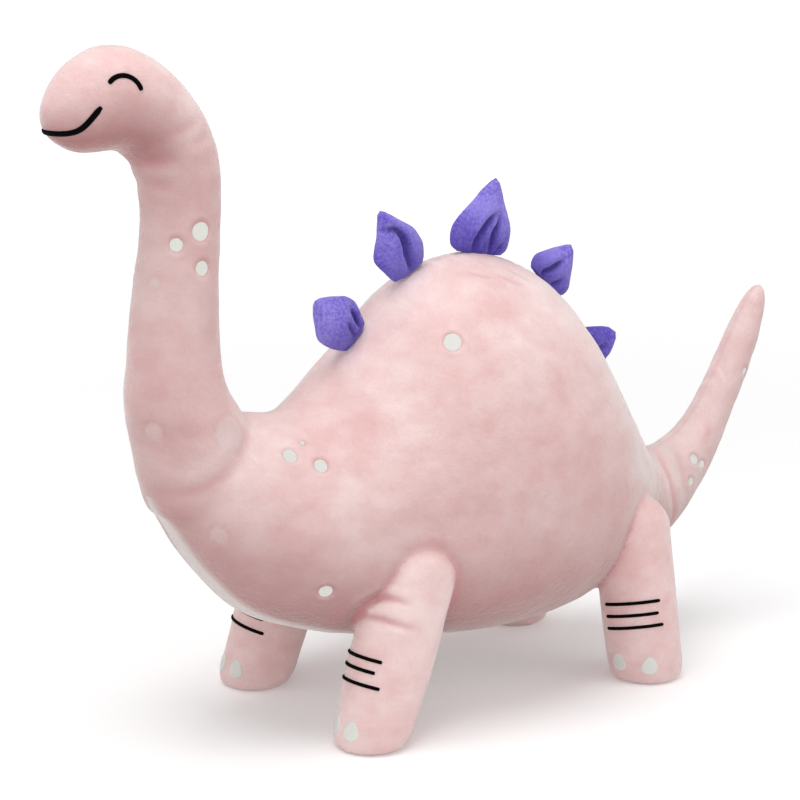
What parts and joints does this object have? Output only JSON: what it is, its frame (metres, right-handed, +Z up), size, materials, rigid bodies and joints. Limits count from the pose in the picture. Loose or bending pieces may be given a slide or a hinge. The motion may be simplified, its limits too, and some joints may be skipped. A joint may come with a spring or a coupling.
{
  "type": "stuffed dinosaur",
  "caption": "Soft stuffed long-necked dinosaur that stands on short stub legs, with an upright neck, an upcurled tail and floppy plates along its spine.",
  "frame": {"origin": "on the ground under the middle of the toy", "axes": "+Z up, -Y the way the head points, +X the toy's own left side"},
  "size_m": [0.168, 0.4693, 0.3578],
  "materials": {
    "pink_plush": "short-pile polyester plush, pale pink",
    "pink_plush_belly": "short-pile polyester plush, pale pink",
    "purple_plush": "short-pile polyester plush, violet",
    "black_thread": "satin-stitched embroidery thread, black",
    "white_thread": "filled embroidery thread, off-white",
    "polyester_filling": "loose polyester fibre, white"
  },
  "bodies": {
    "torso": {"belly_gusset": "pink_plush_belly", "torso_side_left": "pink_plush", "torso_side_right": "pink_plush", "torso_spots_left": "white_thread", "torso_spots_right": "white_thread", "torso_stuffing": "polyester_filling"},
    "head": {"eye_left": "black_thread", "eye_right": "black_thread", "head_side_left": "pink_plush", "head_side_right": "pink_plush", "head_stuffing": "polyester_filling", "mouth": "black_thread"},
    "front_leg_left": {"front_leg_left_skin": "pink_plush", "front_leg_left_sole": "pink_plush_belly", "front_leg_left_stripes": "black_thread", "front_leg_left_stuffing": "polyester_filling", "front_leg_left_toenails": "white_thread"},
    "front_leg_right": {"front_leg_right_skin": "pink_plush", "front_leg_right_sole": "pink_plush_belly", "front_leg_right_stripes": "black_thread", "front_leg_right_stuffing": "polyester_filling", "front_leg_right_toenails": "white_thread"},
    "hind_leg_left": {"hind_leg_left_skin": "pink_plush", "hind_leg_left_sole": "pink_plush_belly", "hind_leg_left_stripes": "black_thread", "hind_leg_left_stuffing": "polyester_filling", "hind_leg_left_toenails": "white_thread"},
    "hind_leg_right": {"hind_leg_right_skin": "pink_plush", "hind_leg_right_sole": "pink_plush_belly", "hind_leg_right_stripes": "black_thread", "hind_leg_right_stuffing": "polyester_filling", "hind_leg_right_toenails": "white_thread"},
    "neck": {"neck_side_left": "pink_plush", "neck_side_right": "pink_plush", "neck_spots": "white_thread", "neck_stuffing": "polyester_filling"},
    "plate_1": {"plate_1_face_left": "purple_plush", "plate_1_face_right": "purple_plush", "plate_1_root": "purple_plush", "plate_1_stuffing": "polyester_filling"},
    "plate_2": {"plate_2_face_left": "purple_plush", "plate_2_face_right": "purple_plush", "plate_2_root": "purple_plush", "plate_2_stuffing": "polyester_filling"},
    "plate_3": {"plate_3_face_left": "purple_plush", "plate_3_face_right": "purple_plush", "plate_3_root": "purple_plush", "plate_3_stuffing": "polyester_filling"},
    "plate_4": {"plate_4_face_left": "purple_plush", "plate_4_face_right": "purple_plush", "plate_4_root": "purple_plush", "plate_4_stuffing": "polyester_filling"},
    "plate_5": {"plate_5_face_left": "purple_plush", "plate_5_face_right": "purple_plush", "plate_5_root": "purple_plush", "plate_5_stuffing": "polyester_filling"},
    "tail": {"tail_side_left": "pink_plush", "tail_side_right": "pink_plush", "tail_spots": "white_thread", "tail_stuffing": "polyester_filling"}
  },
  "joints": [
    {"name": "neck_bend", "type": "hinge", "parent": "torso", "child": "neck", "pos_m": [0, -0.15, 0.14], "axis": [1, 0, 0], "range_deg": [-12, 12], "stiffness_Nm_per_rad": 2},
    {"name": "head_nod", "type": "hinge", "parent": "neck", "child": "head", "pos_m": [0, -0.161, 0.303], "axis": [1, 0, 0], "range_deg": [-12, 12], "stiffness_Nm_per_rad": 0.6},
    {"name": "tail_bend", "type": "hinge", "parent": "torso", "child": "tail", "pos_m": [0, 0.134, 0.088], "axis": [1, 0, 0], "range_deg": [-12, 12], "stiffness_Nm_per_rad": 0.5},
    {"name": "front_leg_left_swing", "type": "hinge", "parent": "torso", "child": "front_leg_left", "pos_m": [0.052, -0.054, 0.074], "axis": [1, 0, 0], "range_deg": [-12, 12], "stiffness_Nm_per_rad": 2},
    {"name": "front_leg_right_swing", "type": "hinge", "parent": "torso", "child": "front_leg_right", "pos_m": [-0.052, -0.054, 0.074], "axis": [1, 0, 0], "range_deg": [-12, 12], "stiffness_Nm_per_rad": 2},
    {"name": "hind_leg_left_swing", "type": "hinge", "parent": "torso", "child": "hind_leg_left", "pos_m": [0.052, 0.091, 0.07], "axis": [1, 0, 0], "range_deg": [-12, 12], "stiffness_Nm_per_rad": 2},
    {"name": "hind_leg_right_swing", "type": "hinge", "parent": "torso", "child": "hind_leg_right", "pos_m": [-0.052, 0.091, 0.07], "axis": [1, 0, 0], "range_deg": [-12, 12], "stiffness_Nm_per_rad": 2},
    {"name": "plate_1_flop", "type": "hinge", "parent": "torso", "child": "plate_1", "pos_m": [0, -0.05972, 0.20371], "axis": [0, 0.6547, 0.7559], "range_deg": [-20, 20], "stiffness_Nm_per_rad": 0.03},
    {"name": "plate_2_flop", "type": "hinge", "parent": "torso", "child": "plate_2", "pos_m": [0, -0.02468, 0.23551], "axis": [0, 0.8843, 0.4669], "range_deg": [-20, 20], "stiffness_Nm_per_rad": 0.03},
    {"name": "plate_3_flop", "type": "hinge", "parent": "torso", "child": "plate_3", "pos_m": [0, 0.02362, 0.24184], "axis": [0, 0.9852, -0.1713], "range_deg": [-20, 20], "stiffness_Nm_per_rad": 0.03},
    {"name": "plate_4_flop", "type": "hinge", "parent": "torso", "child": "plate_4", "pos_m": [0, 0.07176, 0.22052], "axis": [0, 0.7295, -0.684], "range_deg": [-20, 20], "stiffness_Nm_per_rad": 0.03},
    {"name": "plate_5_flop", "type": "hinge", "parent": "torso", "child": "plate_5", "pos_m": [0, 0.10243, 0.17598], "axis": [0, 0.4934, -0.8698], "range_deg": [-20, 20], "stiffness_Nm_per_rad": 0.03}
  ]
}
